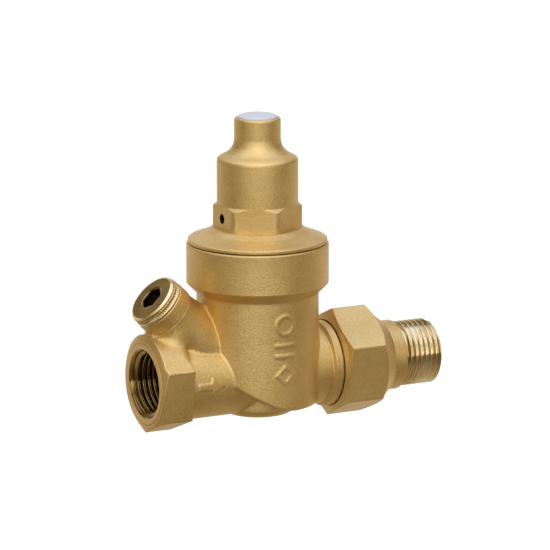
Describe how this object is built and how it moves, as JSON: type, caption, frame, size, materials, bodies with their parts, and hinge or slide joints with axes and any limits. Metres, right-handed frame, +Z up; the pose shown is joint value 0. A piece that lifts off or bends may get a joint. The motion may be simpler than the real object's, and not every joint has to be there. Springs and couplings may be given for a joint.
{
  "type": "pressure reducing valve",
  "caption": "Inline water pressure reducing valve with a female inlet, a male union outlet, a spring bonnet and a plugged gauge port.",
  "frame": {"origin": "centre of the inlet thread where its wall begins, 0.6 mm behind the inlet face", "axes": "+X along the flow, from the inlet to the outlet; +Z up the bonnet axis; +Y towards the back"},
  "size_m": [0.1047, 0.045, 0.1006],
  "materials": {
    "cast_brass": "sand-blasted hot-forged brass, matte",
    "forged_brass": "blasted forging with machined chamfers",
    "turned_brass": "satin barrel with a bright cut thread",
    "bright_brass": "turned brass, semi-bright",
    "steel": "turned stainless steel",
    "spring_steel": "drawn spring wire, lightly oiled",
    "rubber": "black nitrile rubber",
    "diaphragm_rubber": "fabric-reinforced rubber sheet",
    "gasket": "black fibre-rubber gasket",
    "white_plastic": "natural white low-friction plastic",
    "cap_plastic": "pale bluish white moulded plastic"
  },
  "bodies": {
    "housing": {"body": "cast_brass", "seat_bush": "bright_brass", "seat_bush_oring": "rubber", "friction_ring": "white_plastic", "bonnet": "cast_brass", "bonnet_oring": "rubber", "adjusting_spring": "spring_steel"},
    "stem_unit": {"stem": "steel", "disc_holder": "bright_brass", "valve_disc": "rubber", "disc_nut": "steel", "lower_diaphragm_plate": "bright_brass", "diaphragm": "diaphragm_rubber", "upper_diaphragm_plate": "steel", "stem_nut": "steel"},
    "spring_plate_unit": {"spring_plate": "steel", "thrust_washer": "white_plastic"},
    "adjusting_screw_unit": {"adjusting_screw": "bright_brass"},
    "cap_unit": {"cap": "cap_plastic"},
    "gauge_seal_unit": {"gauge_plug_oring": "rubber"},
    "gauge_plug_unit": {"gauge_plug": "bright_brass"},
    "tailpiece_unit": {"tailpiece": "turned_brass", "union_gasket": "gasket"},
    "union_nut_unit": {"union_nut": "forged_brass"}
  },
  "joints": [
    {"name": "stem_lift", "type": "slide", "parent": "housing", "child": "stem_unit", "axis": [0, 0, 1], "range_m": [0, 0.0025], "stiffness_N_per_m": 800, "springref_m": -0.002, "deforming": ["diaphragm"]},
    {"name": "spring_plate_travel", "type": "slide", "parent": "housing", "child": "spring_plate_unit", "axis": [0, 0, 1], "range_m": [-0.006, 0.0015], "deforming": ["adjusting_spring"]},
    {"name": "adjusting_screw_turn", "type": "hinge", "parent": "spring_plate_unit", "child": "adjusting_screw_unit", "pos_m": [0.0394, 0, 0.07], "axis": [0, 0, 1], "range_deg": [-1728, 432]},
    {"name": "cap_pull", "type": "slide", "parent": "housing", "child": "cap_unit", "axis": [0, 0, 1], "range_m": [0, 0.015]},
    {"name": "gauge_plug_out", "type": "slide", "parent": "housing", "child": "gauge_seal_unit", "axis": [-0.7193, 0, 0.6947], "range_m": [0, 0.0134]},
    {"name": "gauge_plug_turn", "type": "hinge", "parent": "gauge_seal_unit", "child": "gauge_plug_unit", "pos_m": [0.00472, 0, 0.02504], "axis": [-0.7193, 0, 0.6947], "range_deg": [0, 3600]},
    {"name": "tailpiece_draw", "type": "slide", "parent": "housing", "child": "tailpiece_unit", "axis": [1, 0, 0], "range_m": [0, 0.02]},
    {"name": "union_nut_turn", "type": "hinge", "parent": "tailpiece_unit", "child": "union_nut_unit", "pos_m": [0.0714, 0, 0], "axis": [1, 0, 0], "continuous": true}
  ],
  "couplings": [
    {"joint": "spring_plate_travel", "follows": "adjusting_screw_turn", "m_per_rad": 0.00019894},
    {"joint": "gauge_plug_out", "follows": "gauge_plug_turn", "m_per_rad": 0.00021279}
  ]
}
